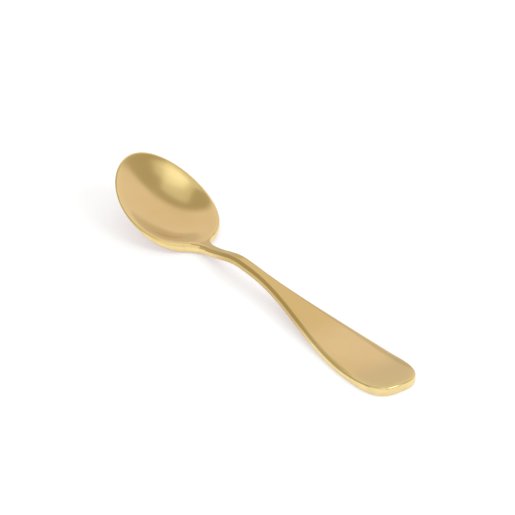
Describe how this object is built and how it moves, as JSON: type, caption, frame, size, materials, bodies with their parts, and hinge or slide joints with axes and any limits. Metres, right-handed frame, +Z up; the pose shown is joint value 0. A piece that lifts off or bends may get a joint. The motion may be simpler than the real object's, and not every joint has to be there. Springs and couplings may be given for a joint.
{
  "type": "demitasse spoon",
  "caption": "Small coffee spoon with an egg-shaped bowl, a slim straight neck and an arched handle that widens to a rounded end and rests flat.",
  "frame": {"origin": "on the table, under the middle of the spoon's length and width", "axes": "+X along the spoon from the bowl to the end of the handle, +Y across it, +Z up out of the hollow of the bowl"},
  "size_m": [0.11, 0.0236, 0.0144],
  "materials": {
    "gold_metal": "satin gold tone"
  },
  "bodies": {
    "root": {"bowl": "gold_metal", "neck": "gold_metal", "handle": "gold_metal"}
  },
  "joints": []
}
